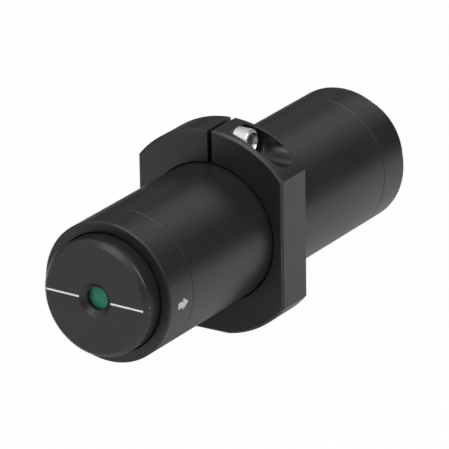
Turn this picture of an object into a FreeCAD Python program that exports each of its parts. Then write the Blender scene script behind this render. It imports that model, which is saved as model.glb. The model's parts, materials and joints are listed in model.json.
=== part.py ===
"""Tandem optical isolator in a split mounting ring.

Two Faraday rotators stand in line inside a round black barrel, with one
polarizer between them and one in a turning cell at each end. The barrel is
gripped by a split ring with two side flats, a clamp screw beside the slit
and a tapped hole for a post in its foot.

Lengths are millimetres. +Z is up and the beam runs along +Y. The origin is
the mouth of the tapped hole, in the middle of the ring's foot.
"""

import FreeCAD
import Part
import math
import os

from FreeCAD import Vector

# Mounting ring
beam_height = 22.3
ring_outer_d = 45.3
ring_width = 35.4
ring_thickness = 9.9
ring_edge_chamfer = 0.5
ring_bore_clearance = 0.05
ring_bore_chamfer = 0.3
slit_width = 1.05
slit_edge_break = 0.2
post_hole_d = 3.45
post_hole_chamfer = 0.35

# Clamp screw, an inch size 6 socket head cap screw
screw_depth_below_crown = 2.96
screw_seat_x = 3.9
screw_head_d = 5.74
screw_head_length = 3.6
screw_head_chamfer = 0.4
screw_shank_d = 3.4
screw_shank_length = 9.5
screw_point_chamfer = 0.5
screw_socket_flats = 2.78
screw_socket_depth = 1.9
screw_pocket_d = 7.94
screw_passage_clearance = 0.2
screw_thread_clearance = 0.05
screw_hole_run_out = 0.8

# Barrel
barrel_d = 30.48
tube_length = 78.1
tube_bore_d = 24.1
end_ring_length = 8.5
ring_to_front_face = 44.7
spigot_d = 27.0
spigot_clearance = 0.03
barrel_end_chamfer = 0.3
seam_chamfer = 0.15

# Turning polarizer cells
cell_d = 25.4
cell_projection = 4.9
cell_insertion = 4.2
cell_clearance = 0.08
cell_end_gap = 0.2
cell_bevel = 0.85
cell_edge_break = 0.15
cell_bore_d = 13.9
cell_mouth_chamfer = 0.25
aperture_d = 5.1
countersink_d = 7.5
countersink_angle = 100.0
aperture_land = 1.15
index_line_width = 0.46
index_line_depth = 0.12
index_line_turn = 1.5

# Grooves and lock screws that hold the cells
groove_centre = 2.1
groove_width = 2.5
groove_depth = 0.5
lock_screw_d = 2.18
lock_screw_clearance = 0.05
lock_screw_recess = 0.15
lock_screw_tip_gap = 0.1
lock_screw_point = 0.3
lock_socket_flats = 0.89
lock_socket_depth = 1.0
lock_screw_turn = 205.0

# Polarizer discs and the slotted rings that hold them
polarizer_d = 12.5
polarizer_thickness = 2.0
polarizer_clearance = 0.05
retainer_d = 13.8
retainer_bore_d = 7.4
retainer_length = 2.0
retainer_slot_width = 1.2
retainer_slot_depth = 0.8
retainer_clearance = 0.05

# Faraday rotators
end_magnet_length = 9.0
core_magnet_length = 16.0
magnet_bore_d = 8.0
magnet_clearance = 0.05
magnet_chamfer = 0.3
sleeve_bore_d = 5.5
sleeve_clearance = 0.03
crystal_length = 18.0
crystal_clearance = 0.03

# Middle polarizer holder and the rings that lock both stacks
holder_length = 6.0
holder_rim = 1.6
lock_ring_length = 3.0
lock_ring_bore_d = 16.0
lock_ring_slot_width = 1.6
lock_ring_slot_depth = 1.2

# Places along the beam, measured from the middle of the mounting ring
front_face_y = -ring_to_front_face
front_seam_y = front_face_y + end_ring_length
rear_seam_y = front_seam_y + tube_length
rear_face_y = rear_seam_y + end_ring_length
spigot_setback = cell_insertion + cell_end_gap
front_tube_end_y = front_face_y + spigot_setback
rear_tube_end_y = rear_face_y - spigot_setback
stack_middle_y = (front_tube_end_y + rear_tube_end_y) / 2
rotator_length = 2 * end_magnet_length + core_magnet_length

# Radii and heights that several pieces share
barrel_r = barrel_d / 2
cell_r = cell_d / 2
cell_seat_r = cell_r + cell_clearance
cell_groove_r = cell_r - groove_depth
tube_bore_r = tube_bore_d / 2
stack_r = tube_bore_r - magnet_clearance
polarizer_r = polarizer_d / 2
polarizer_seat_r = polarizer_r + polarizer_clearance
aperture_r = aperture_d / 2
sleeve_bore_r = sleeve_bore_d / 2
screw_axis_z = beam_height + ring_outer_d / 2 - screw_depth_below_crown

beam_axis = Vector(0, 1, 0)
through = 2.0 * ring_outer_d


def turned(profile, start=0.0, inward=1):
    """Solid of revolution about the beam.

    Each profile point is a radius and a depth. Depths run from start, along
    +Y where inward is 1 and along -Y where it is -1.
    """
    points = [Vector(radius, start + inward * depth, 0) for radius, depth in profile]
    face = Part.Face(Part.makePolygon(points + points[:1]))
    solid = face.revolve(Vector(0, 0, 0), beam_axis, 360)
    solid.translate(Vector(0, 0, beam_height))
    return solid


def collar(outer_r, bore_r, length, start=0.0, inward=1, chamfer=0.0):
    """Plain round ring with both outer edges chamfered."""
    profile = [
        (bore_r, 0),
        (outer_r - chamfer, 0),
        (outer_r, chamfer),
        (outer_r, length - chamfer),
        (outer_r - chamfer, length),
        (bore_r, length),
    ]
    if not chamfer:
        profile = [(bore_r, 0), (outer_r, 0), (outer_r, length), (bore_r, length)]
    return turned(profile, start, inward)


def rod(radius, length, start, inward=1):
    """Plain disc or rod on the beam."""
    return turned([(0, 0), (radius, 0), (radius, length), (0, length)], start, inward)


def cylinder_along(direction, base, radius, length):
    return Part.makeCylinder(radius, length, base, direction)


def prism(corners, travel):
    """Solid swept from a flat polygon along a vector."""
    return Part.Face(Part.makePolygon(corners + corners[:1])).extrude(travel)


def hexagon(across_flats, depth, base, direction):
    """Hexagonal prism that starts at base and runs along direction."""
    corner_r = across_flats / math.sqrt(3)
    turns = [math.radians(60 * k) for k in range(6)]
    corners = [Vector(corner_r * math.cos(turn), corner_r * math.sin(turn), 0) for turn in turns]
    socket = prism(corners, Vector(0, 0, depth))
    socket.Placement = FreeCAD.Placement(base, FreeCAD.Rotation(Vector(0, 0, 1), direction))
    return socket


def spanner_slots(outer_r, width, depth, face_y, inward):
    """Bar that cuts two opposite slots into a ring's outer face."""
    low_y = min(face_y, face_y + inward * depth)
    corner = Vector(-outer_r, low_y, beam_height - width / 2)
    return Part.makeBox(2 * outer_r, depth, width, corner)


def chamfered_rim(reach):
    """Points of the mounting ring's rim at that reach, as (reach, y), front to rear."""
    half = ring_thickness / 2
    return [
        (reach - ring_edge_chamfer, -half),
        (reach, ring_edge_chamfer - half),
        (reach, half - ring_edge_chamfer),
        (reach - ring_edge_chamfer, half),
    ]


def ring_blank():
    """Chamfered disc, cut down to the two side flats and the foot."""
    half = ring_thickness / 2
    disc = turned([(0, -half)] + chamfered_rim(ring_outer_d / 2) + [(0, half)])

    right = chamfered_rim(ring_width / 2)
    left = [(-x, y) for x, y in reversed(right)]
    flats = [Vector(x, y, 0) for x, y in right + left]
    between_flats = prism(flats, Vector(0, 0, through))

    sole = [Vector(-ring_outer_d, y, beam_height - z) for z, y in chamfered_rim(beam_height)]
    crown_z = beam_height + ring_outer_d
    crown = [Vector(-ring_outer_d, y, crown_z) for y in (half, -half)]
    above_foot = prism(sole + crown, Vector(through, 0, 0))
    return disc.common(between_flats).common(above_foot)


def ring_bore_cutter():
    """Bore of the mounting ring with a chamfer at each mouth."""
    bore_r = barrel_r + ring_bore_clearance
    half = ring_thickness / 2
    mouth_r = bore_r + ring_bore_chamfer
    profile = [
        (0, -half),
        (mouth_r, -half),
        (bore_r, ring_bore_chamfer - half),
        (bore_r, half - ring_bore_chamfer),
        (mouth_r, half),
        (0, half),
    ]
    return turned(profile)


def clamp_screw_axis(x):
    """Point on the clamp screw's axis at that x."""
    return Vector(x, 0, screw_axis_z)


def slit_cutters():
    """Slit from the beam upwards, and the break of its edges at the crown."""
    near = slit_width / 2
    far = near + slit_edge_break
    half = ring_thickness / 2
    step = half - slit_edge_break
    left = [(-far, -half), (-near, -step), (-near, step), (-far, half)]
    right = [(-x, y) for x, y in reversed(left)]
    plan = [Vector(x, y, beam_height) for x, y in left + right]

    crown_z = beam_height + ring_outer_d / 2
    mouth = [(-far, crown_z), (-near, crown_z - slit_edge_break)]
    mouth += [(-x, z) for x, z in reversed(mouth)]
    outline = [Vector(x, -half, z) for x, z in mouth]
    return prism(plan, Vector(0, 0, through)), prism(outline, Vector(0, ring_thickness, 0))


def clamp_ring():
    """Split ring with the screw pocket, screw hole and tapped foot."""
    ring = ring_blank().cut(ring_bore_cutter())
    slit, slit_mouth = slit_cutters()
    ring = ring.cut(slit).cut(slit_mouth)

    pocket_r = screw_pocket_d / 2
    passage_r = screw_shank_d / 2 + screw_passage_clearance
    thread_r = screw_shank_d / 2 + screw_thread_clearance
    thread_end_x = screw_seat_x - screw_shank_length - screw_hole_run_out
    along_x = Vector(1, 0, 0)
    ring = ring.cut(cylinder_along(along_x, clamp_screw_axis(screw_seat_x), pocket_r, through))
    ring = ring.cut(cylinder_along(along_x, clamp_screw_axis(0), passage_r, screw_seat_x))
    ring = ring.cut(cylinder_along(along_x, clamp_screw_axis(thread_end_x), thread_r, -thread_end_x))

    post_r = post_hole_d / 2
    lead_in = Part.makeCone(post_r + post_hole_chamfer, post_r, post_hole_chamfer)
    post_hole = Part.makeCylinder(post_r, beam_height)
    return ring.cut(post_hole).cut(lead_in)


def clamp_screw():
    """Socket head cap screw whose head faces +X."""
    head_r = screw_head_d / 2
    shank_r = screw_shank_d / 2
    profile = [
        (0, -screw_shank_length),
        (shank_r - screw_point_chamfer, -screw_shank_length),
        (shank_r, screw_point_chamfer - screw_shank_length),
        (shank_r, 0),
        (head_r, 0),
        (head_r, screw_head_length - screw_head_chamfer),
        (head_r - screw_head_chamfer, screw_head_length),
        (0, screw_head_length),
    ]
    points = [Vector(screw_seat_x + depth, 0, radius) for radius, depth in profile]
    face = Part.Face(Part.makePolygon(points + points[:1]))
    screw = face.revolve(Vector(0, 0, 0), Vector(1, 0, 0), 360)
    screw.translate(clamp_screw_axis(0))
    socket_floor = clamp_screw_axis(screw_seat_x + screw_head_length - screw_socket_depth)
    socket = hexagon(screw_socket_flats, screw_socket_depth, socket_floor, Vector(1, 0, 0))
    return screw.cut(socket)


def main_tube():
    """Barrel between the seams, with a spigot at each end and a straight bore."""
    spigot_r = spigot_d / 2
    profile = [
        (tube_bore_r, front_tube_end_y),
        (spigot_r, front_tube_end_y),
        (spigot_r, front_seam_y),
        (barrel_r - seam_chamfer, front_seam_y),
        (barrel_r, front_seam_y + seam_chamfer),
        (barrel_r, rear_seam_y - seam_chamfer),
        (barrel_r - seam_chamfer, rear_seam_y),
        (spigot_r, rear_seam_y),
        (spigot_r, rear_tube_end_y),
        (tube_bore_r, rear_tube_end_y),
    ]
    return turned(profile)


def lock_screw_direction():
    """Unit vector from the beam towards a lock screw's head."""
    angle = math.radians(lock_screw_turn)
    return Vector(math.cos(angle), 0, math.sin(angle))


def beam_point(y):
    return Vector(0, y, beam_height)


def end_ring(face_y, inward):
    """End ring of the barrel: seat for a cell, bore for the spigot, lock screw hole."""
    spigot_bore_r = spigot_d / 2 + spigot_clearance
    profile = [
        (cell_seat_r + cell_mouth_chamfer, 0),
        (barrel_r - barrel_end_chamfer, 0),
        (barrel_r, barrel_end_chamfer),
        (barrel_r, end_ring_length - seam_chamfer),
        (barrel_r - seam_chamfer, end_ring_length),
        (spigot_bore_r, end_ring_length),
        (spigot_bore_r, spigot_setback),
        (cell_seat_r, spigot_setback),
        (cell_seat_r, cell_mouth_chamfer),
    ]
    ring = turned(profile, face_y, inward)
    hole_r = lock_screw_d / 2 + lock_screw_clearance
    start = beam_point(face_y + inward * groove_centre)
    return ring.cut(cylinder_along(lock_screw_direction(), start, hole_r, barrel_d))


def countersink_depth():
    half_angle = math.radians(countersink_angle / 2)
    return (countersink_d - aperture_d) / 2 / math.tan(half_angle)


def polarizer_seat_depth():
    """Depth of the polarizer's outer face below the ring's face, negative outside."""
    return countersink_depth() + aperture_land - cell_projection


def polarizer_cell(face_y, inward):
    """Turning cell with a bevelled cap, countersunk aperture and lock groove."""
    outer = -cell_projection
    cone_end = outer + countersink_depth()
    seat = polarizer_seat_depth()
    shelf = seat + polarizer_thickness
    groove_start = groove_centre - groove_width / 2
    groove_end = groove_centre + groove_width / 2
    profile = [
        (aperture_r, cone_end),
        (countersink_d / 2, outer),
        (cell_r - cell_bevel - cell_edge_break, outer),
        (cell_r - cell_edge_break, outer + cell_bevel),
        (cell_r, outer + cell_bevel + 2 * cell_edge_break),
        (cell_r, groove_start),
        (cell_groove_r, groove_start),
        (cell_groove_r, groove_end),
        (cell_r, groove_end),
        (cell_r, cell_insertion),
        (cell_bore_d / 2, cell_insertion),
        (cell_bore_d / 2, shelf),
        (polarizer_seat_r, shelf),
        (polarizer_seat_r, seat),
        (aperture_r, seat),
    ]
    cell = turned(profile, face_y, inward)
    return cell.cut(index_line(face_y, inward))


def index_line(face_y, inward):
    """Bar that cuts the index line across the cell's outer face."""
    length = cell_d - 2 * (cell_bevel + cell_edge_break)
    outer_y = face_y - inward * cell_projection
    low_y = min(outer_y, outer_y + inward * index_line_depth)
    corner = Vector(-length / 2, low_y, beam_height - index_line_width / 2)
    bar = Part.makeBox(length, index_line_depth, index_line_width, corner)
    bar.rotate(beam_point(0), beam_axis, index_line_turn)
    return bar


def polarizer(outer_y, inward):
    return rod(polarizer_r, polarizer_thickness, outer_y, inward)


def retaining_ring(outer_y, inward):
    """Thin ring with two spanner slots in its inner face."""
    outer_r = retainer_d / 2
    ring = collar(outer_r, retainer_bore_d / 2, retainer_length, outer_y, inward)
    slot_y = outer_y + inward * (retainer_length - retainer_slot_depth)
    return ring.cut(spanner_slots(outer_r, retainer_slot_width, retainer_slot_depth, slot_y, inward))


def lock_screw(face_y, inward):
    """Headless screw with a hexagon socket that holds a cell."""
    direction = lock_screw_direction()
    inner_r = cell_groove_r + lock_screw_tip_gap
    outer_r = barrel_r - lock_screw_recess
    y = face_y + inward * groove_centre
    base = beam_point(y) + direction * inner_r
    screw_r = lock_screw_d / 2
    point = Part.makeCone(screw_r - lock_screw_point, screw_r, lock_screw_point, base, direction)
    shank_base = base + direction * lock_screw_point
    shank = cylinder_along(direction, shank_base, screw_r, outer_r - inner_r - lock_screw_point)
    socket_base = beam_point(y) + direction * (outer_r - lock_socket_depth)
    socket = hexagon(lock_socket_flats, lock_socket_depth, socket_base, direction)
    return point.fuse(shank).removeSplitter().cut(socket)


def magnet(start_y, length, inward):
    return collar(stack_r, magnet_bore_d / 2, length, start_y, inward, magnet_chamfer)


def rotator(name, start_y, inward):
    """One Faraday rotator: three ring magnets around a sleeve and its crystal."""
    core_y = start_y + inward * end_magnet_length
    inner_y = core_y + inward * core_magnet_length
    sleeve_r = magnet_bore_d / 2 - sleeve_clearance
    crystal_r = sleeve_bore_r - crystal_clearance
    crystal_y = start_y + inward * (rotator_length - crystal_length) / 2
    return {
        f"{name}_outer_magnet": magnet(start_y, end_magnet_length, inward),
        f"{name}_core_magnet": magnet(core_y, core_magnet_length, inward),
        f"{name}_inner_magnet": magnet(inner_y, end_magnet_length, inward),
        f"{name}_crystal_sleeve": collar(sleeve_r, sleeve_bore_r, rotator_length, start_y, inward),
        f"{name}_rotator_crystal": rod(crystal_r, crystal_length, crystal_y, inward),
    }


def stack_lock_ring(inner_y, outward):
    """Slotted ring that presses a rotator against the middle holder."""
    ring = collar(stack_r, lock_ring_bore_d / 2, lock_ring_length, inner_y, outward)
    slot_y = inner_y + outward * (lock_ring_length - lock_ring_slot_depth)
    return ring.cut(spanner_slots(stack_r, lock_ring_slot_width, lock_ring_slot_depth, slot_y, outward))


def middle_holder(start_y):
    """Holder of the middle polarizer, open towards +Y for its retaining ring."""
    seat = holder_rim
    shelf = seat + polarizer_thickness
    retainer_seat_r = retainer_d / 2 + retainer_clearance
    profile = [
        (sleeve_bore_r, 0),
        (stack_r, 0),
        (stack_r, holder_length),
        (retainer_seat_r, holder_length),
        (retainer_seat_r, shelf),
        (polarizer_seat_r, shelf),
        (polarizer_seat_r, seat),
        (sleeve_bore_r, seat),
    ]
    return turned(profile, start_y)


def end_cell(name, face_y, inward):
    """The turning cell at one end of the barrel, with what it holds and its lock screw."""
    glass_y = face_y + inward * polarizer_seat_depth()
    retainer_y = glass_y + inward * polarizer_thickness
    return {
        f"{name}_polarizer_cell": polarizer_cell(face_y, inward),
        f"{name}_polarizer": polarizer(glass_y, inward),
        f"{name}_retaining_ring": retaining_ring(retainer_y, inward),
        f"{name}_lock_screw": lock_screw(face_y, inward),
    }


def middle_optics():
    """The polarizer that both rotators share, in its holder."""
    start_y = stack_middle_y - holder_length / 2
    glass_y = start_y + holder_rim
    return {
        "middle_polarizer_holder": middle_holder(start_y),
        "middle_polarizer": polarizer(glass_y, 1),
        "middle_retaining_ring": retaining_ring(glass_y + polarizer_thickness, 1),
    }


def all_pieces():
    front_stack_y = stack_middle_y - holder_length / 2 - rotator_length
    rear_stack_y = stack_middle_y + holder_length / 2 + rotator_length
    pieces = {
        "clamp_ring": clamp_ring(),
        "clamp_screw": clamp_screw(),
        "main_tube": main_tube(),
        "front_end_ring": end_ring(front_face_y, 1),
        "rear_end_ring": end_ring(rear_face_y, -1),
        "front_stack_lock_ring": stack_lock_ring(front_stack_y, -1),
        "rear_stack_lock_ring": stack_lock_ring(rear_stack_y, 1),
    }
    pieces.update(end_cell("input", front_face_y, 1))
    pieces.update(end_cell("output", rear_face_y, -1))
    pieces.update(rotator("front", front_stack_y, 1))
    pieces.update(rotator("rear", rear_stack_y, -1))
    pieces.update(middle_optics())
    return pieces


def main():
    os.makedirs("parts", exist_ok=True)
    for name, shape in all_pieces().items():
        shape.exportStep(f"parts/{name}.step")
        print(f"{name}: {len(shape.Solids)} solid, {shape.Volume:.2f} mm3, valid {shape.isValid()}")


main()
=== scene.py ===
"""Finishes, markings, screws and studio of the optical isolator."""

import json
import math

import bmesh
import bpy
from bpy.props import FloatProperty, FloatVectorProperty, IntProperty, PointerProperty
from mathutils import Matrix, Vector


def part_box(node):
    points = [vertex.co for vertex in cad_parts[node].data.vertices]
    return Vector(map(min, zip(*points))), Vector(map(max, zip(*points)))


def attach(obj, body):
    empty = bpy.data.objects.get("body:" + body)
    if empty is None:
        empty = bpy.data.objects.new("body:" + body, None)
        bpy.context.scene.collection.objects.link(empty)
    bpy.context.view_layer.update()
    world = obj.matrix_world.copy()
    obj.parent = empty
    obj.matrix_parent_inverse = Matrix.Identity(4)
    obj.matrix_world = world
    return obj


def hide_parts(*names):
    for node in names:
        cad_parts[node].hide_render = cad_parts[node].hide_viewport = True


bl_info = {
    "name": "Optical isolator looks",
    "version": (1, 0, 0),
    "blender": (4, 5, 0),
    "location": "3D View > Sidebar > Isolator",
    "description": "Finishes, markings, screws and studio of an optical isolator",
    "category": "Object",
}

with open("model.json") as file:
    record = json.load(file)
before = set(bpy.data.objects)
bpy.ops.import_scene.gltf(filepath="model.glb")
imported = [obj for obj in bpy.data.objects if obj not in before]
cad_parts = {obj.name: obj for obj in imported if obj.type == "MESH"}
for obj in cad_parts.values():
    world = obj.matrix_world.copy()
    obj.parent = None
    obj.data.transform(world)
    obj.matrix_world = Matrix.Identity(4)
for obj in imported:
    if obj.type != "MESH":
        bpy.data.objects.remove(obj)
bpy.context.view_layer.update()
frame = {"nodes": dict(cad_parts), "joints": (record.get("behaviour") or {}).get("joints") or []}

MM = 0.001
INCH = 25.4 * MM
FULL_TURN = 2 * math.pi
JOINTS = {joint["name"]: joint for joint in frame["joints"]}
BEAM = Vector(JOINTS["barrel_turn"]["pos_m"])

# Each end's cell, with the way into the barrel along Y
ENDS = {"input": 1, "output": -1}
ROTATORS = ("front", "rear")

# Half the width of the painted dark line of shade where two pieces of the barrel meet
SEAM_SHADE_REACH = 0.07 * MM

# Faces that meet at less than this are shaded as one smooth surface
SMOOTH_ANGLE = math.radians(32)

# Radius that stands in for a point at the bottom of a drilled hole
POINT_R = 0.05 * MM

# A Mix node has sockets for each kind of data, and these are the ones for colours
MIX_FIRST, MIX_SECOND, MIX_RESULT = 6, 7, 2

# The picture's side and its optical centre, in pixels
IMAGE_SIDE = 449
IMAGE_CENTRE = (226.0, 222.8)
SENSOR_WIDTH = 36.0

# Name, turn from the input end and rise in degrees, width in metres, power in watts
LAMPS = (
    ("key", 0.0, 56.0, 0.9, 4.5),
    ("over", 0.0, 80.0, 0.8, 2.5),
    ("left", -62.0, 35.0, 0.7, 0.93),
    ("left_high", -112.0, 55.0, 0.6, 0.6),
    ("low_left", -75.0, 16.0, 0.5, 0.34),
    ("front_left", -36.0, 28.0, 0.4, 1.1),
    ("front_right", 50.0, 32.0, 0.5, 0.89),
    ("right", 90.0, 35.0, 0.7, 5.2),
    ("rear_right", 162.0, 34.0, 0.4, 0.26),
    ("rear_high", 182.0, 40.0, 0.5, 0.56),
    ("rear_left", 208.0, 20.0, 0.4, 0.07),
)
LAMP_DISTANCE = 1.1


def outer_face_y(end):
    """Where the outer face of that end's cell lies along the beam."""
    low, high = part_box(f"{end}_polarizer_cell")
    return low[1] if end == "input" else high[1]


class Value:
    """A shader socket that plain arithmetic can be written with."""

    def __init__(self, shader, socket):
        self.shader = shader
        self.socket = socket

    def output(self, name):
        """Another output of the same node."""
        return Value(self.shader, self.socket.node.outputs[name])

    def _math(self, operation, *operands):
        inputs = dict(enumerate(operands))
        return self.shader.node("ShaderNodeMath", {"operation": operation}, inputs)

    def __add__(self, other):
        return self._math("ADD", self, other)

    def __sub__(self, other):
        return self._math("SUBTRACT", self, other)

    def __rsub__(self, other):
        return self._math("SUBTRACT", other, self)

    def __mul__(self, other):
        return self._math("MULTIPLY", self, other)

    def __truediv__(self, other):
        return self._math("DIVIDE", self, other)

    def __rtruediv__(self, other):
        return self._math("DIVIDE", other, self)

    def __pow__(self, other):
        return self._math("POWER", self, other)

    def __lt__(self, other):
        return self._math("LESS_THAN", self, other)

    def __gt__(self, other):
        return self._math("GREATER_THAN", self, other)

    __radd__ = __add__
    __rmul__ = __mul__


class Shader:
    """The node tree of a material or of the world, whose nodes all come from one method."""

    def __init__(self, owner):
        owner.use_nodes = True
        self.owner = owner
        self.tree = owner.node_tree
        self.tree.nodes.clear()

    def node(self, kind, settings=None, inputs=None, output=0):
        """Adds a node, sets its settings and then its sockets, and returns one output."""
        made = self.tree.nodes.new(kind)
        for name, setting in (settings or {}).items():
            setattr(made, name, setting)
        for name, given in (inputs or {}).items():
            if isinstance(given, Value):
                self.tree.links.new(given.socket, made.inputs[name])
            else:
                made.inputs[name].default_value = given
        return Value(self, made.outputs[output]) if made.outputs else None

    def ray_kinds(self):
        """Masks of the rays that come straight from the camera and by way of metal or glass."""
        path = self.node("ShaderNodeLightPath")
        mirrored = path.output("Is Glossy Ray") + path.output("Is Transmission Ray")
        return path.output("Is Camera Ray"), mirrored


class Finish(Shader):
    """A procedural material."""

    def __init__(self, name):
        super().__init__(bpy.data.materials.new(name))

    def place(self):
        """Position on the piece at rest, in metres."""
        return self.node("ShaderNodeTexCoord", output="Object")

    def parts_of(self, vector):
        """The three numbers of a vector."""
        split = self.node("ShaderNodeSeparateXYZ", inputs={"Vector": vector})
        return [split.output(axis) for axis in "XYZ"]

    def noise(self, vector, cells, detail=3.0, roughness=0.5):
        """Soft noise from 0 to 1 with that many cells to the metre."""
        inputs = {"Vector": vector, "Scale": cells, "Detail": detail, "Roughness": roughness}
        return self.node("ShaderNodeTexNoise", {"noise_dimensions": "3D"}, inputs)

    def lines(self, along, cells, roughness=0.5):
        """Noise that changes with one number only, as tool lines do."""
        vector = self.node("ShaderNodeCombineXYZ", inputs={"X": along})
        return self.noise(vector, cells, roughness=roughness)

    def blend(self, factor, first, second):
        """Colour that goes from first to second."""
        inputs = {"Factor": factor, MIX_FIRST: first, MIX_SECOND: second}
        return self.node("ShaderNodeMix", {"data_type": "RGBA"}, inputs, MIX_RESULT)

    def distance(self, vector, spot):
        """How far a position lies from a spot."""
        inputs = {0: vector, 1: spot}
        return self.node("ShaderNodeVectorMath", {"operation": "DISTANCE"}, inputs, "Value")

    def bump(self, height, depth, strength):
        """Normal over a relief of that depth in metres."""
        inputs = {"Height": height, "Distance": depth, "Strength": strength}
        return self.node("ShaderNodeBump", inputs=inputs)

    def surface(self, inputs):
        """Makes a principled surface the material's output and returns the material."""
        return self.show(self.node("ShaderNodeBsdfPrincipled", inputs=inputs))

    def show(self, shader):
        """Makes a shader the material's output and returns the material."""
        self.node("ShaderNodeOutputMaterial", inputs={"Surface": shader})
        return self.owner


def rgba(colour):
    """Colour with full alpha."""
    return (*colour, 1.0)


def grey(level):
    """Grey with full alpha."""
    return rgba((level, level, level))


def scaled(colour, factor):
    """Colour made lighter or darker, with full alpha."""
    return rgba([min(1.0, channel * factor) for channel in colour])


def around(mask, swing):
    """Even swing to both sides of zero, from a mask that runs from 0 to 1."""
    return (mask - 0.5) * swing


def from_axis(across, rise):
    """Distance from an axis, from the two distances square to it."""
    return (across * across + rise * rise) ** 0.5


def dress(material, *nodes):
    """Puts a material on CAD nodes."""
    for node in nodes:
        target = frame["nodes"][node]
        if not target.material_slots:
            target.data.materials.append(material)
        for held in target.material_slots:
            held.material = material


def anodised(name, settings, lines_across=None, specks=(), gloss=1.0, bore=None, shaded_seams=()):
    """Satin black anodised aluminium with fine tool lines and a soft grain.

    lines_across is "radius" on a faced end, "beam" on a turned side, or None. Specks are small
    bright nicks, each a place and a reach. Inside bore, given as its height, its radius and where
    it starts along X, the metal is smoother. Shaded seams are places along the beam where the
    joint between two pieces gets a painted dark line of shade, and duller metal.
    """
    finish = Finish(name)
    place = finish.place()
    x, y, z = finish.parts_of(place)
    cloud = finish.noise(place, cells=55.0, detail=2.0)
    grain = finish.noise(place, cells=9000.0, detail=2.0, roughness=0.65)
    height = grain * 0.6
    rough = settings.anodised_roughness + around(cloud, 0.08) + around(grain, 0.06)
    if lines_across:
        along = from_axis(x, z - BEAM.z) if lines_across == "radius" else y
        lines = finish.lines(along, cells=5200.0, roughness=0.7)
        height = height + lines * 0.8
        rough = rough + around(lines, 0.1)
    if bore:
        axis_z, bore_r, start_x = bore
        inside = (from_axis(y, z - axis_z) < bore_r) * (x > start_x)
        smoother = 0.14
        rough = rough - inside * smoother
    colour = settings.anodised_colour
    base = finish.blend(cloud, scaled(colour, 0.85), scaled(colour, 1.2))
    for seam_y in shaded_seams:
        offset = y - seam_y
        joint = offset * offset < SEAM_SHADE_REACH ** 2
        duller = 0.3
        # Painted shade: at the seam the base colour goes near black, standing in for the shade in
        # the gap between the pieces; the roughness also rises
        base = finish.blend(joint, base, grey(0.002))
        rough = rough + joint * duller
    for spot, reach in specks:
        ragged = finish.noise(place, cells=4000.0) > 0.5
        nick = (finish.distance(place, spot) < reach) * ragged
        base = finish.blend(nick, base, grey(0.45))
    return finish.surface({
        "Base Color": base,
        "Roughness": rough,
        "Specular IOR Level": settings.anodised_gloss * gloss,
        "Normal": finish.bump(height, depth=0.004 * MM, strength=0.5),
    })


def steel(name, colour, roughness, streak_axis, smooth_from=None, socket=None):
    """Metal with fine streaks that run round one axis.

    smooth_from is the place along that axis from which the metal is machined smooth. Socket gives
    the height and the reach of a socket about X, whose walls are darkened as painted shade.
    """
    finish = Finish(name)
    place = finish.place()
    parts = dict(zip("XYZ", finish.parts_of(place)))
    along = parts[streak_axis]
    streaks = finish.lines(along, cells=7000.0, roughness=0.7)
    patches = finish.noise(place, cells=1500.0, detail=2.0)
    rough = roughness + around(streaks, 0.16) + around(patches, 0.08)
    if smooth_from is not None:
        smoother = 0.28
        rough = rough - (along > smooth_from) * smoother
    base = finish.blend(patches, scaled(colour, 0.88), scaled(colour, 1.06))
    if socket:
        axis_z, reach = socket
        inside = from_axis(parts["Y"], parts["Z"] - axis_z) < reach
        # Painted shade: the socket's walls are blended halfway to near black, for the shade inside
        # the hollow
        base = finish.blend(inside * 0.5, base, grey(0.06))
    return finish.surface({
        "Base Color": base,
        "Metallic": 1.0,
        "Roughness": rough,
        "Normal": finish.bump(streaks, depth=0.004 * MM, strength=0.5),
    })


def mesh_piece(name, points, faces, material):
    """Named mesh object from points and faces, with smooth shading between gentle faces."""
    mesh = bpy.data.meshes.new(name)
    mesh.from_pydata([tuple(point) for point in points], [], faces)
    mesh.validate()
    mesh.materials.append(material)
    piece = bpy.data.objects.new(name, mesh)
    bpy.context.scene.collection.objects.link(piece)
    turn_faces_outward(mesh)
    mesh.set_sharp_from_angle(angle=SMOOTH_ANGLE)
    mesh.shade_smooth()
    return piece


def turn_faces_outward(mesh):
    """Points every face's front side away from the solid."""
    work = bmesh.new()
    work.from_mesh(mesh)
    bmesh.ops.recalc_face_normals(work, faces=work.faces)
    work.to_mesh(mesh)
    work.free()


def closed_faces(rows, count, first=0):
    """Faces of a solid over rows of points that go round, with a flat cap on both end rows."""
    faces = []
    for row in range(rows - 1):
        start = first + row * count
        for k in range(count):
            beside = (k + 1) % count
            faces.append((start + k, start + beside, start + count + beside, start + count + k))
    last = first + (rows - 1) * count
    faces.append(tuple(reversed(range(first, first + count))))
    faces.append(tuple(range(last, last + count)))
    return faces


def skin(name, rings, material):
    """Mesh piece over closed rings of equal count."""
    points = [point for ring in rings for point in ring]
    return mesh_piece(name, points, closed_faces(len(rings), len(rings[0])), material)


def frame_towards(axis):
    """Two unit vectors square to an axis, and the axis itself."""
    nearly_parallel = 0.1
    axis = axis.normalized()
    side = axis.cross(Vector((0, 1, 0)))
    if side.length < nearly_parallel:
        side = axis.cross(Vector((0, 0, 1)))
    side.normalize()
    return side, axis.cross(side), axis


def ring_of(count, base, axes, height, radius_at):
    """Closed ring of points about an axis, whose radius may change with the angle."""
    side, up, axis = axes
    middle = base + axis * height
    ring = []
    for k in range(count):
        angle = FULL_TURN * k / count
        radius = radius_at(angle)
        ring.append(middle + side * (radius * math.cos(angle)) + up * (radius * math.sin(angle)))
    return ring


def constant(radius):
    """Radius of a circle by angle."""
    return lambda angle: radius


def hexagonal(across_flats):
    """Radius of a hexagon by angle, with a corner at angle 0."""
    sector = FULL_TURN / 6

    def radius_at(angle):
        return across_flats / 2 / math.cos(angle % sector - sector / 2)

    return radius_at


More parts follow.
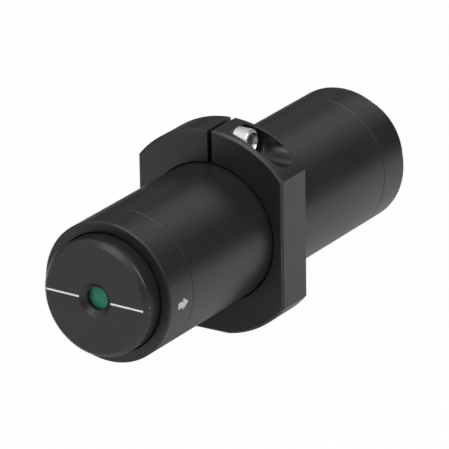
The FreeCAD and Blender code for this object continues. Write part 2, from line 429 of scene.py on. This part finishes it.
def ridged(radius, depth, count):
    """Radius of a straight knurl by angle."""

    def radius_at(angle):
        phase = (angle * count / FULL_TURN) % 1.0
        return radius - depth * abs(2 * phase - 1)

    return radius_at


def threaded(height, pitch, crest, depth):
    """Radius of a right-handed outside thread by angle, at one height."""

    def radius_at(angle):
        phase = (height / pitch - angle / FULL_TURN) % 1.0
        return crest - depth * abs(2 * phase - 1)

    return radius_at


def thread_rings(ring, start, end, crest, depth, pitch):
    """Rings of a thread that fades out at both ends. Ring makes one from a height and a radius."""
    rows_per_turn = 10
    steps = max(2, round((end - start) / pitch * rows_per_turn))
    rings = []
    for row in range(steps + 1):
        height = start + (end - start) * row / steps
        fade = min(1.0, (height - start) / pitch, (end - height) / pitch)
        rings.append(ring(height, threaded(height, pitch, crest, depth * fade)))
    return rings


def direction(turn, rise):
    """Unit vector from the isolator by its turn from the input end towards +X and its rise."""
    level = math.cos(rise)
    return Vector((math.sin(turn) * level, -math.cos(turn) * level, math.sin(rise)))


class FinishSettings(bpy.types.PropertyGroup):
    """Colours and roughnesses of the isolator's surfaces."""

    anodised_colour: FloatVectorProperty(
        name="Anodised colour", description="Black of the anodised aluminium",
        subtype="COLOR", size=3, min=0.0, max=1.0, default=(0.012, 0.012, 0.0122),
    )
    anodised_roughness: FloatProperty(
        name="Anodised roughness", description="Satin of the anodised aluminium",
        subtype="FACTOR", min=0.0, max=1.0, default=0.38,
    )
    anodised_gloss: FloatProperty(
        name="Anodised gloss", description="Strength of the reflection on the anodised aluminium",
        subtype="FACTOR", min=0.0, max=1.0, default=0.5,
    )
    paint_colour: FloatVectorProperty(
        name="Paint colour", description="White of the filled index lines",
        subtype="COLOR", size=3, min=0.0, max=1.0, default=(0.97, 0.97, 0.97),
    )
    print_colour: FloatVectorProperty(
        name="Arrow colour", description="Light grey of the laser marked arrow",
        subtype="COLOR", size=3, min=0.0, max=1.0, default=(0.62, 0.62, 0.62),
    )
    glass_colour: FloatVectorProperty(
        name="Polarizer colour", description="Green of the polarizer discs",
        subtype="COLOR", size=3, min=0.0, max=1.0, default=(0.031, 0.265, 0.165),
    )
    steel_colour: FloatVectorProperty(
        name="Steel colour", description="Bright stainless steel of the clamp screw",
        subtype="COLOR", size=3, min=0.0, max=1.0, default=(0.78, 0.78, 0.77),
    )


class ScrewSettings(bpy.types.PropertyGroup):
    """Sizes of the screws' fine detail."""

    knurl_teeth: IntProperty(
        name="Knurl teeth", description="Ridges round the clamp screw's head",
        min=12, max=96, default=48,
    )
    knurl_depth: FloatProperty(
        name="Knurl depth", description="Depth of the ridges round the clamp screw's head",
        subtype="DISTANCE", unit="LENGTH", min=0.0, default=0.03 * MM,
    )
    clamp_pitch: FloatProperty(
        name="Clamp screw pitch", description="Advance of the clamp screw in one turn",
        subtype="DISTANCE", unit="LENGTH", min=0.1 * MM, default=INCH / 32,
    )
    lock_pitch: FloatProperty(
        name="Lock screw pitch", description="Advance of a lock screw in one turn",
        subtype="DISTANCE", unit="LENGTH", min=0.1 * MM, default=INCH / 56,
    )
    post_pitch: FloatProperty(
        name="Post hole pitch", description="Advance of the post's stud in one turn",
        subtype="DISTANCE", unit="LENGTH", min=0.1 * MM, default=INCH / 32,
    )


class MarkSettings(bpy.types.PropertyGroup):
    """Sizes of the index lines and of the arrow that shows the beam's direction."""

    line_width: FloatProperty(
        name="Line width", description="Width of the paint in the index groove",
        subtype="DISTANCE", unit="LENGTH", min=0.0, default=0.46 * MM,
    )
    line_sink: FloatProperty(
        name="Line sink", description="How far the paint lies below the cell's face",
        subtype="DISTANCE", unit="LENGTH", min=0.0, default=0.015 * MM,
    )
    line_turn: FloatProperty(
        name="Line turn", description="Angle of the index lines from level, about the beam",
        subtype="ANGLE", unit="ROTATION", default=math.radians(1.5),
    )
    arrow_length: FloatProperty(
        name="Arrow length", description="Length of the arrow along the beam",
        subtype="DISTANCE", unit="LENGTH", min=0.0, default=3.8 * MM,
    )
    arrow_width: FloatProperty(
        name="Arrow width", description="Width of the arrow's head",
        subtype="DISTANCE", unit="LENGTH", min=0.0, default=2.65 * MM,
    )
    arrow_turn: FloatProperty(
        name="Arrow turn", description="Place of the arrow round the barrel, from +X towards +Z",
        subtype="ANGLE", unit="ROTATION", default=math.radians(-4.6),
    )


class StudioSettings(bpy.types.PropertyGroup):
    """Camera and light of the studio."""

    camera_turn: FloatProperty(
        name="Camera turn", description="Camera's angle round the isolator, from the input end",
        subtype="ANGLE", unit="ROTATION", default=math.radians(31.918),
    )
    camera_rise: FloatProperty(
        name="Camera rise", description="Camera's angle above the table",
        subtype="ANGLE", unit="ROTATION", default=math.radians(20.664),
    )
    camera_roll: FloatProperty(
        name="Camera roll", description="Lean of the camera",
        subtype="ANGLE", unit="ROTATION", default=math.radians(-0.907),
    )
    camera_distance: FloatProperty(
        name="Camera distance", description="From the barrel's middle to the camera",
        subtype="DISTANCE", unit="LENGTH", min=0.1, default=1.04606,
    )
    camera_lens: FloatProperty(
        name="Focal length", description="Focal length on a 36 mm wide sensor",
        subtype="DISTANCE_CAMERA", unit="CAMERA", min=1.0, default=397.8,
    )
    light_level: FloatProperty(
        name="Light level", description="Common factor on all the lamps", min=0.0, default=1.0,
    )


class ISOLATOR_OT_finish_metal(bpy.types.Operator):
    """Gives the barrel, the cells and the mounting ring their anodised finish"""

    bl_idname = "isolator.finish_metal"
    bl_label = "Anodised metal"

    def execute(self, context):
        settings = context.scene.isolator_finish
        edges = (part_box("front_end_ring")[1][1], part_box("rear_end_ring")[0][1])
        # Places of the painted dark line of shade, beside each seam between an end ring and the
        # tube
        shaded_seams = [edge_y - SEAM_SHADE_REACH for edge_y in edges]
        sides = anodised("barrel_anodised", settings, "beam", shaded_seams=shaded_seams)
        dress(sides, "main_tube", "front_end_ring", "rear_end_ring")
        screw_axis = Vector(JOINTS["clamp_screw_turn"]["pos_m"])
        pocket_r = 4.05 * MM
        pocket = (screw_axis.z, pocket_r, screw_axis.x)
        dress(anodised("ring_anodised", settings, gloss=1.15, bore=pocket), "clamp_ring")
        cells = [f"{end}_polarizer_cell" for end in ENDS]
        dress(anodised("cell_anodised", settings, "radius", self.rim_specks()), *cells)
        return {"FINISHED"}

    @staticmethod
    def rim_specks():
        """Place and reach of the small bright nicks on the input cell's rim."""
        rim_r = 12.63 * MM
        rim_y = outer_face_y("input") + 1.0 * MM
        nicks = ((28, 0.1 * MM), (2, 0.12 * MM), (-3, 0.1 * MM))
        specks = []
        for degrees, reach in nicks:
            angle = math.radians(degrees)
            spot = (rim_r * math.cos(angle), rim_y, BEAM.z + rim_r * math.sin(angle))
            specks.append((spot, reach))
        return specks


class ISOLATOR_OT_finish_optics(bpy.types.Operator):
    """Gives the polarizers, the crystals and what holds them their finish"""

    bl_idname = "isolator.finish_optics"
    bl_label = "Optics and inner stack"

    def execute(self, context):
        settings = context.scene.isolator_finish
        glass = self.polarizer_glass(settings.glass_colour)
        dress(glass, "input_polarizer", "output_polarizer", "middle_polarizer")
        matt = anodised("inner_matt_black", settings, "beam")
        holders = ["middle_polarizer_holder", "middle_retaining_ring"]
        holders += [f"{end}_retaining_ring" for end in ENDS]
        holders += [f"{name}_stack_lock_ring" for name in ROTATORS]
        dress(matt, *holders)
        nickel = self.turned_metal("nickel_plate", colour=(0.62, 0.6, 0.56), roughness=0.24)
        brass = self.turned_metal("turned_brass", colour=(0.76, 0.55, 0.24), roughness=0.3)
        crystal = self.garnet()
        for name in ROTATORS:
            dress(nickel, *[f"{name}_{part}_magnet" for part in ("outer", "core", "inner")])
            dress(brass, f"{name}_crystal_sleeve")
            dress(crystal, f"{name}_rotator_crystal")
        return {"FINISHED"}

    @staticmethod
    def polarizer_glass(colour):
        """Smooth dark glass with a faint haze."""
        finish = Finish("polarizer_glass")
        haze = finish.noise(finish.place(), cells=300.0, detail=2.0)
        return finish.surface({
            "Base Color": finish.blend(haze, scaled(colour, 0.92), scaled(colour, 1.08)),
            "Roughness": 0.1 + haze * 0.06,
            "Specular IOR Level": 0.25,
        })

    @staticmethod
    def turned_metal(name, colour, roughness):
        """Bright metal with fine lines round the beam."""
        finish = Finish(name)
        place = finish.place()
        patches = finish.noise(place, cells=400.0)
        along_beam = finish.parts_of(place)[1]
        lines = finish.lines(along_beam, cells=6000.0)
        return finish.surface({
            "Base Color": finish.blend(patches, scaled(colour, 0.9), scaled(colour, 1.05)),
            "Metallic": 1.0,
            "Roughness": roughness + around(lines, 0.12),
            "Normal": finish.bump(lines, depth=0.003 * MM, strength=0.4),
        })

    @staticmethod
    def garnet():
        """Clear crystal with a faint tint."""
        finish = Finish("garnet_crystal")
        haze = finish.noise(finish.place(), cells=500.0)
        return finish.surface({
            "Base Color": finish.blend(haze, rgba((0.9, 0.92, 0.84)), rgba((0.84, 0.88, 0.78))),
            "Roughness": 0.02 + haze * 0.03,
            "Transmission Weight": 1.0,
            "IOR": 1.95,
        })


class ISOLATOR_OT_fill_index_lines(bpy.types.Operator):
    """Fills the groove across each cell's face with white paint"""

    bl_idname = "isolator.fill_index_lines"
    bl_label = "Index lines"

    def execute(self, context):
        paint = self.paint(context.scene.isolator_finish.paint_colour)
        marks = context.scene.isolator_marks
        for end, inward in ENDS.items():
            line = self.line(end, inward, marks, paint)
            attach(line, f"{end}_cell")
        return {"FINISHED"}

    @staticmethod
    def paint(colour):
        """White paint with a fine grain."""
        finish = Finish("white_paint")
        grain = finish.noise(finish.place(), cells=5000.0)
        return finish.surface({
            "Base Color": finish.blend(grain, scaled(colour, 0.97), rgba(colour)),
            "Roughness": 0.45 + grain * 0.1,
            "Normal": finish.bump(grain, depth=0.003 * MM, strength=0.4),
        })

    @staticmethod
    def line(end, inward, marks, paint):
        """Two crowned strips, one each side of the countersink."""
        face_y = outer_face_y(end)
        inner_r = 3.82 * MM
        outer_r = 11.68 * MM
        steps = 24
        half = marks.line_width / 2
        # Across as a share of the strip's half width, and up as a share of its crown
        section = [(-1.0, 0.0), (-0.86, 0.8), (-0.4, 1.0), (0.4, 1.0), (0.86, 0.8), (1.0, 0.0)]
        crown = 0.012 * MM
        bed_y = face_y + inward * 0.1 * MM
        points = []
        faces = []
        for side in (-1, 1):
            first = len(points)
            for step in range(steps + 1):
                along = inner_r + (outer_r - inner_r) * step / steps
                for across, rise in section:
                    top_y = face_y + inward * (marks.line_sink + crown * (1 - rise))
                    y = bed_y if rise == 0.0 else top_y
                    points.append(Vector((side * along, y, across * half)))
            faces += closed_faces(steps + 1, len(section), first)
        turn = Matrix.Rotation(marks.line_turn, 4, "Y")
        points = [turn @ point + Vector((0, 0, BEAM.z)) for point in points]
        return mesh_piece(f"{end}_index_line", points, faces, paint)


class ISOLATOR_OT_mark_arrow(bpy.types.Operator):
    """Marks the arrow that shows the beam's direction on the front end ring"""

    bl_idname = "isolator.mark_arrow"
    bl_label = "Direction arrow"

    def execute(self, context):
        marks = context.scene.isolator_marks
        low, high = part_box("front_end_ring")
        radius = (high[0] - low[0]) / 2
        start_y = low[1] + 2.9 * MM
        ink = self.ink(context.scene.isolator_finish.print_colour)
        arrow = self.arrow(marks, radius, start_y, ink)
        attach(arrow, "barrel")
        return {"FINISHED"}

    @staticmethod
    def ink(colour):
        """Light grey of laser marked aluminium."""
        finish = Finish("laser_mark")
        grain = finish.noise(finish.place(), cells=7000.0)
        return finish.surface({
            "Base Color": finish.blend(grain, scaled(colour, 0.85), scaled(colour, 1.1)),
            "Roughness": 0.55 + grain * 0.1,
        })

    @staticmethod
    def arrow(marks, radius, start_y, ink):
        """Thin plate in the outline of an arrow, wrapped on the ring."""
        length = marks.arrow_length
        half_head = marks.arrow_width / 2
        half_shaft = half_head * 0.52
        neck = length * 0.5
        thickness = 0.012 * MM
        stations = 28
        points = []
        for step in range(stations + 1):
            along = length * step / stations
            if along < neck:
                half = half_shaft
            else:
                half = half_head * (length - along) / (length - neck)
            for across in (-1.0, 0.0, 1.0):
                angle = marks.arrow_turn + across * half / radius
                for layer in (radius - thickness, radius + thickness):
                    z = BEAM.z + layer * math.sin(angle)
                    points.append(Vector((layer * math.cos(angle), start_y + along, z)))
        # A station's points, in the order that goes round its edge
        edge = (1, 3, 5, 4, 2, 0)
        per_station = len(edge)
        faces = []
        for step in range(stations):
            row = per_station * step
            beyond = row + per_station
            for a, b in zip(edge, edge[1:] + edge[:1]):
                faces.append((row + a, row + b, beyond + b, beyond + a))
        faces.append(edge)
        return mesh_piece("direction_arrow", points, faces, ink)


class ISOLATOR_OT_make_clamp_screw(bpy.types.Operator):
    """Makes the clamp screw with its knurled head, hexagon socket and thread"""

    bl_idname = "isolator.make_clamp_screw"
    bl_label = "Clamp screw"

    def execute(self, context):
        screws = context.scene.isolator_screws
        colour = context.scene.isolator_finish.steel_colour
        head_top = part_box("clamp_screw")[1][0]
        smooth_from = head_top - 0.3 * MM
        # Height and reach of the socket, whose walls get painted shade
        socket = (JOINTS["clamp_screw_turn"]["pos_m"][2], 2.12 * MM)
        material = steel("bright_stainless", colour, 0.6, "X", smooth_from, socket)
        piece = self.screw(screws, material)
        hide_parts("clamp_screw")
        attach(piece, "clamp_screw")
        return {"FINISHED"}

    @staticmethod
    def screw(screws, material):
        """Skin from the tip to the bottom of the socket. Heights start at the head's seat."""
        low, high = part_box("clamp_screw")
        seat = Vector(JOINTS["clamp_screw_turn"]["pos_m"])
        axes = frame_towards(Vector((1, 0, 0)))
        points_per_ridge = 6
        count = screws.knurl_teeth * points_per_ridge
        head_r = (high[1] - low[1]) / 2
        top = high[0] - seat.x
        tip = low[0] - seat.x
        shank_r = 1.7 * MM
        point = 0.5 * MM
        thread_depth = 0.3 * MM
        neck = 0.6 * MM
        seat_break = 0.15 * MM
        plain_to = 0.8 * MM
        knurled_from = 0.95 * MM
        rim = 0.32 * MM
        knurled_to = top - rim - 0.3 * MM
        mouth_r = 2.15 * MM
        mouth_depth = 0.6 * MM
        socket_depth = 1.9 * MM
        drill_r = 1.3 * MM
        knurl = ridged(head_r, screws.knurl_depth, screws.knurl_teeth)
        socket = hexagonal(2.78 * MM)

        def ring(height, radius_at):
            return ring_of(count, seat, axes, height, radius_at)

        rings = [ring(tip, constant(shank_r - point))]
        rings += thread_rings(ring, tip + point, -neck, shank_r, thread_depth, screws.clamp_pitch)
        rings += [
            ring(0.0, constant(shank_r)),
            ring(0.0, constant(head_r - seat_break)),
            ring(seat_break, constant(head_r)),
            ring(plain_to, constant(head_r)),
            ring(knurled_from, knurl),
            ring(knurled_to, knurl),
            ring(top - rim - 0.1 * MM, constant(head_r)),
            ring(top - rim, constant(head_r)),
            ring(top - 0.3 * rim, constant(head_r - 0.5 * rim)),
            ring(top, constant(head_r - 1.2 * rim)),
            ring(top, constant(mouth_r)),
            ring(top - mouth_depth, socket),
            ring(top - socket_depth, socket),
            ring(top - socket_depth, constant(drill_r)),
            ring(top - socket_depth - 0.5 * MM, constant(POINT_R)),
        ]
        return skin("clamp_screw_detailed", rings, material)


class ISOLATOR_OT_make_lock_screws(bpy.types.Operator):
    """Makes the two headless screws that lock the polarizer cells"""

    bl_idname = "isolator.make_lock_screws"
    bl_label = "Lock screws"

    def execute(self, context):
        screws = context.scene.isolator_screws
        black_oxide = (0.09, 0.09, 0.095)
        material = steel("black_oxide_steel", black_oxide, 0.35, "Y")
        for end in ENDS:
            piece = self.screw(end, screws, material)
            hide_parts(f"{end}_lock_screw")
            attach(piece, f"{end}_lock_screw")
        return {"FINISHED"}

    @staticmethod
    def screw(end, screws, material):
        """Skin from the tip to the bottom of the socket."""
        joint = JOINTS[f"{end}_lock_screw_turn"]
        outward = Vector(joint["axis"]).normalized()
        base = Vector(joint["pos_m"])
        low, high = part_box(f"{end}_lock_screw")
        radius = (high[1] - low[1]) / 2
        corners = [Vector((x, base.y, z)) for x in (low[0], high[0]) for z in (low[2], high[2])]
        reaches = [(corner - base).dot(outward) for corner in corners]
        # The screw lies aslant in its box, whose corners reach past its ends by this much
        spread = radius * (abs(outward.x) * abs(outward.z)) * 2
        tip, top = min(reaches) + spread, max(reaches) - spread
        axes = frame_towards(outward)
        count = 60
        point = 0.3 * MM
        point_r = radius - 0.35 * MM
        bevel = 0.12 * MM
        thread_depth = 0.16 * MM
        mouth_r = 0.6 * MM
        mouth_depth = 0.08 * MM
        socket = hexagonal(0.89 * MM)
        socket_depth = 0.9 * MM
        drill_depth = 1.0 * MM

        def ring(height, radius_at):
            return ring_of(count, base, axes, height, radius_at)

        rings = [ring(tip, constant(point_r)), ring(tip + point, constant(radius))]
        rings += thread_rings(
            ring, tip + point, top - bevel, radius, thread_depth, screws.lock_pitch
        )
        rings += [
            ring(top, constant(radius - bevel)),
            ring(top, constant(mouth_r)),
            ring(top - mouth_depth, socket),
            ring(top - socket_depth, socket),
            ring(top - drill_depth, constant(POINT_R)),
        ]
        return skin(f"{end}_lock_screw_detailed", rings, material)


class ISOLATOR_OT_tap_post_hole(bpy.types.Operator):
    """Cuts the look of a thread into the post hole"""

    bl_idname = "isolator.tap_post_hole"
    bl_label = "Post hole thread"

    def execute(self, context):
        material = anodised("thread_anodised", context.scene.isolator_finish)
        ridge = self.ridge(context.scene.isolator_screws.post_pitch, material)
        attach(ridge, "mount")
        return {"FINISHED"}

    @staticmethod
    def ridge(pitch, material):
        """Thread crest that winds up the hole's wall."""
        wall_r = 1.725 * MM
        start_z = 0.45 * MM
        end_z = 6.5 * MM
        depth = 0.14 * MM
        sunk = 0.02 * MM
        half_root = 0.3
        half_crest = 0.06
        per_turn = 40
        steps = int((end_z - start_z) / pitch * per_turn)
        points = []
        for step in range(steps + 1):
            angle = FULL_TURN * step / per_turn
            z = start_z + pitch * step / per_turn
            fade = min(1.0, step / per_turn * 2, (steps - step) / per_turn * 2)
            # Out from the wall's radius, and up as a share of the pitch
            section = (
                (sunk, -half_root), (-depth * fade, -half_crest),
                (-depth * fade, half_crest), (sunk, half_root),
            )
            for offset, rise in section:
                radius = wall_r + offset
                x, y = radius * math.cos(angle), radius * math.sin(angle)
                points.append(Vector((x, y, z + rise * pitch)))
        faces = closed_faces(steps + 1, len(section))
        return mesh_piece("post_hole_thread", points, faces, material)


class ISOLATOR_OT_set_stage(bpy.types.Operator):
    """Sets the table, the soft lamps, the white background and the camera"""

    bl_idname = "isolator.set_stage"
    bl_label = "Studio"

    def execute(self, context):
        studio = context.scene.isolator_studio
        target = Vector((0.0, 1.3 * MM, BEAM.z))
        self.table()
        self.background(context.scene)
        self.lamps(context.scene, target, studio.light_level)
        self.camera(context.scene, studio, target)
        context.scene.view_settings.view_transform = "Standard"
        return {"FINISHED"}

    @staticmethod
    def table():
        """Pale round table that keeps the isolator's shadow and looks white elsewhere.

        Metal and glass show it dimmer, and dimmest in front of the mounting ring, where the
        barrel shades it.
        """
        sides = 96
        radius = 0.3
        gap = 0.02 * MM
        axes = frame_towards(Vector((0, 0, 1)))
        points = ring_of(sides, Vector((0, 0, -gap)), axes, 0.0, constant(radius))
        finish = Finish("table_white")
        x, y, _ = finish.parts_of(finish.place())
        # Middle of the shaded patch, and its reach to both sides
        middle_x, middle_y = -2.0 * MM, -36.0 * MM
        reach_x, reach_y = 20.0 * MM, 28.0 * MM
        across = (x - middle_x) / reach_x
        along = (y - middle_y) / reach_y
        spread = across * across + along * along
        shade = 1.0 / (spread * spread + 1.0)
        white_to_camera = 0.98
        white_in_mirrors = 0.42
        straight, mirrored = finish.ray_kinds()
        seen = straight * white_to_camera + mirrored * (1.0 - shade) * white_in_mirrors
        lit = finish.node("ShaderNodeBsdfDiffuse", inputs={"Color": grey(0.9)})
        white = finish.node("ShaderNodeEmission", inputs={"Color": grey(1.0), "Strength": 1.0})
        mixed = finish.node("ShaderNodeMixShader", inputs={"Fac": seen, 1: lit, 2: white})
        table = mesh_piece("table", points, [tuple(range(sides))], finish.show(mixed))

    @staticmethod
    def background(scene):
        """Dim room that looks white to the camera."""
        room_level = 0.01
        white_in_mirrors = 0.08
        world = Shader(bpy.data.worlds.new("studio"))
        straight, mirrored = world.ray_kinds()
        seen = straight + mirrored * white_in_mirrors
        room, white = [
            world.node("ShaderNodeBackground", inputs={"Color": grey(1.0), "Strength": level})
            for level in (room_level, 1.0)
        ]
        mixed = world.node("ShaderNodeMixShader", inputs={"Fac": seen, 1: room, 2: white})
        world.node("ShaderNodeOutputWorld", inputs={"Surface": mixed})
        scene.world = world.owner

    @staticmethod
    def lamps(scene, target, level):
        """Round soft lamps that face the isolator."""
        for name, turn, rise, width, power in LAMPS:
            data = bpy.data.lights.new(name, "AREA")
            data.shape = "DISK"
            data.size = width
            data.energy = power * level
            lamp = bpy.data.objects.new(name, data)
            back = direction(math.radians(turn), math.radians(rise))
            lamp.location = target + back * LAMP_DISTANCE
            lamp.rotation_mode = "QUATERNION"
            lamp.rotation_quaternion = (-back).to_track_quat("-Z", "Y")
            scene.collection.objects.link(lamp)

    @staticmethod
    def camera(scene, studio, target):
        """Camera at the photograph's place."""
        turn, roll = studio.camera_turn, studio.camera_roll
        back = direction(turn, studio.camera_rise)
        level = Vector((math.cos(turn), math.sin(turn), 0.0))
        rise = back.cross(level)
        right = level * math.cos(roll) + rise * math.sin(roll)
        up = rise * math.cos(roll) - level * math.sin(roll)
        centre_x, centre_y = IMAGE_CENTRE
        data = bpy.data.cameras.new("camera")
        data.sensor_width = SENSOR_WIDTH
        data.lens = studio.camera_lens
        data.shift_x = (IMAGE_SIDE / 2 - centre_x) / IMAGE_SIDE
        data.shift_y = (centre_y - IMAGE_SIDE / 2) / IMAGE_SIDE
        data.clip_start = 0.05
        data.clip_end = 20.0
        camera = bpy.data.objects.new("camera", data)
        axes = Matrix((right, up, back)).transposed().to_4x4()
        camera.matrix_world = Matrix.Translation(target + back * studio.camera_distance) @ axes
        scene.collection.objects.link(camera)
        scene.camera = camera


SETTINGS = {
    "isolator_finish": FinishSettings,
    "isolator_screws": ScrewSettings,
    "isolator_marks": MarkSettings,
    "isolator_studio": StudioSettings,
}
OPERATORS = (
    ISOLATOR_OT_finish_metal,
    ISOLATOR_OT_finish_optics,
    ISOLATOR_OT_fill_index_lines,
    ISOLATOR_OT_mark_arrow,
    ISOLATOR_OT_make_clamp_screw,
    ISOLATOR_OT_make_lock_screws,
    ISOLATOR_OT_tap_post_hole,
    ISOLATOR_OT_set_stage,
)


class ISOLATOR_PT_pieces(bpy.types.Panel):
    """Lists the isolator's pieces and their settings"""

    bl_idname = "ISOLATOR_PT_pieces"
    bl_label = "Optical isolator"
    bl_space_type = "VIEW_3D"
    bl_region_type = "UI"
    bl_category = "Isolator"

    def draw(self, context):
        for operator in OPERATORS:
            self.layout.operator(operator.bl_idname)
        for group in SETTINGS:
            settings = getattr(context.scene, group)
            box = self.layout.box()
            for name in settings.bl_rna.properties.keys():
                if name not in ("rna_type", "name"):
                    box.prop(settings, name)


CLASSES = (*SETTINGS.values(), *OPERATORS, ISOLATOR_PT_pieces)


def register():
    """Registers the classes and puts the settings on the scene."""
    for made in CLASSES:
        bpy.utils.register_class(made)
    for group, made in SETTINGS.items():
        setattr(bpy.types.Scene, group, PointerProperty(type=made))


def unregister():
    """Takes the settings off the scene and unregisters the classes."""
    for group in SETTINGS:
        delattr(bpy.types.Scene, group)
    for made in reversed(CLASSES):
        bpy.utils.unregister_class(made)


def main():
    """Builds every piece in order."""
    register()
    for operator in OPERATORS:
        group, name = operator.bl_idname.split(".")
        getattr(getattr(bpy.ops, group), name)()


if __name__ == "__main__":
    main()
